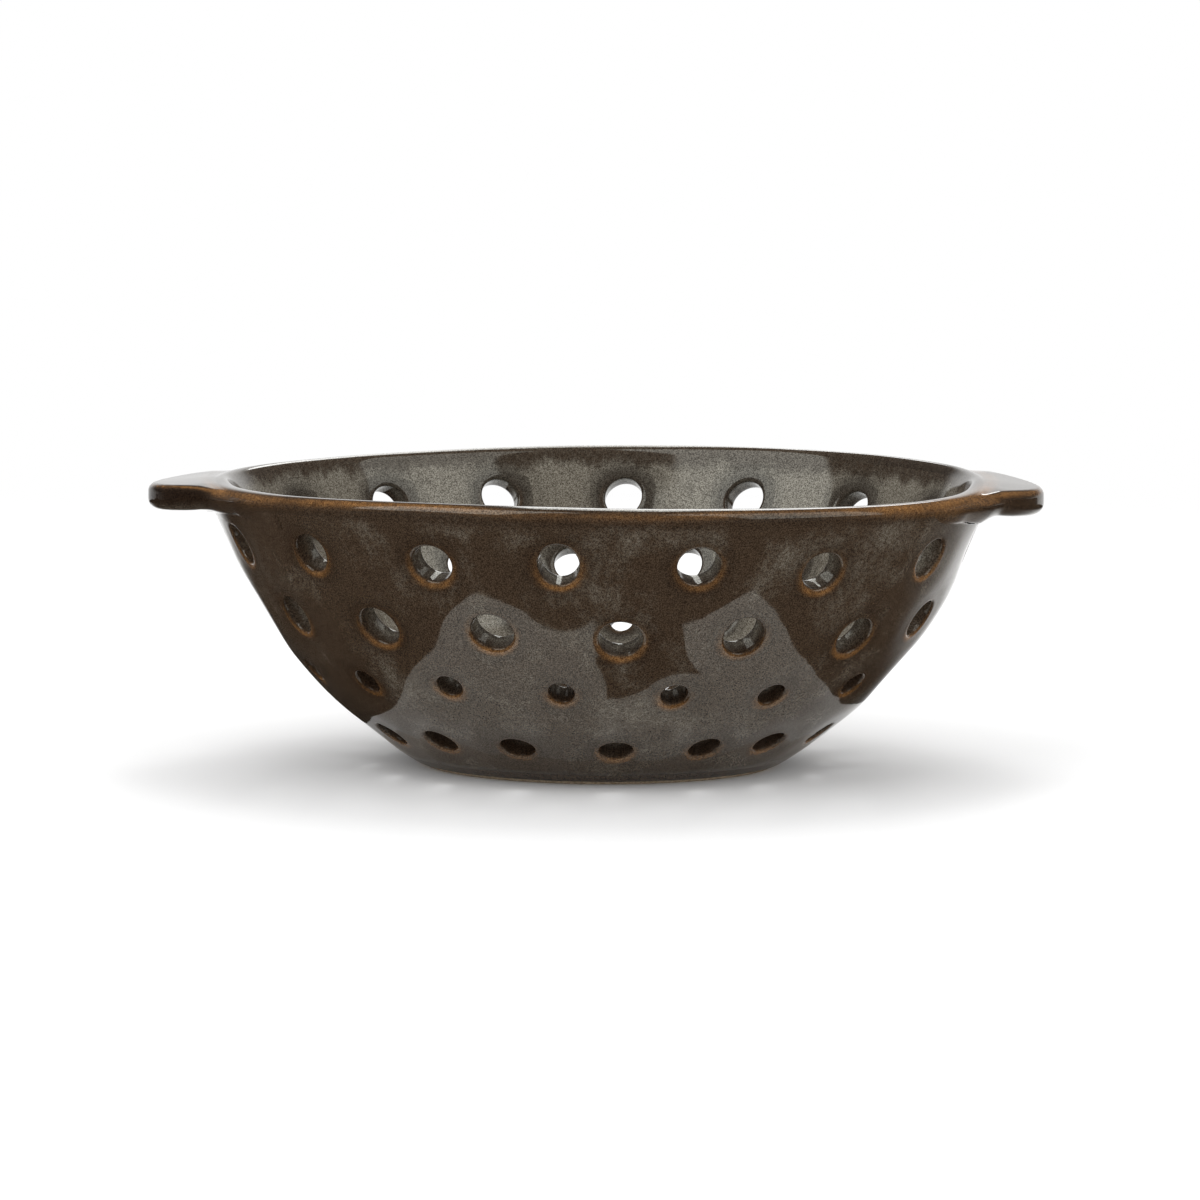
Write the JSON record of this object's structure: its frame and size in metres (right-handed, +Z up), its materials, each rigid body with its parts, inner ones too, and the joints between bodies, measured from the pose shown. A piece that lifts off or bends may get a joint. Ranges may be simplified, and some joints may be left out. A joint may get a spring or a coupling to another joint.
{
  "type": "berry colander bowl",
  "caption": "Oval glazed stoneware berry colander with a perforated wall and floor, a foot ring and two lug handles at the rim.",
  "frame": {"origin": "centre of the foot's underside, on the surface that the bowl stands on", "axes": "+X along the two handles, -Y towards the front of the picture's view, +Z up"},
  "size_m": [0.1968, 0.146, 0.0635],
  "materials": {
    "glazed_stoneware": "glossy brown and sage speckled glaze that breaks amber at the edges",
    "bare_stoneware": "unglazed buff stoneware, matt"
  },
  "bodies": {
    "root": {"bowl_body": "glazed_stoneware", "left_handle": "glazed_stoneware", "right_handle": "glazed_stoneware", "foot_ring": "bare_stoneware"}
  },
  "joints": []
}
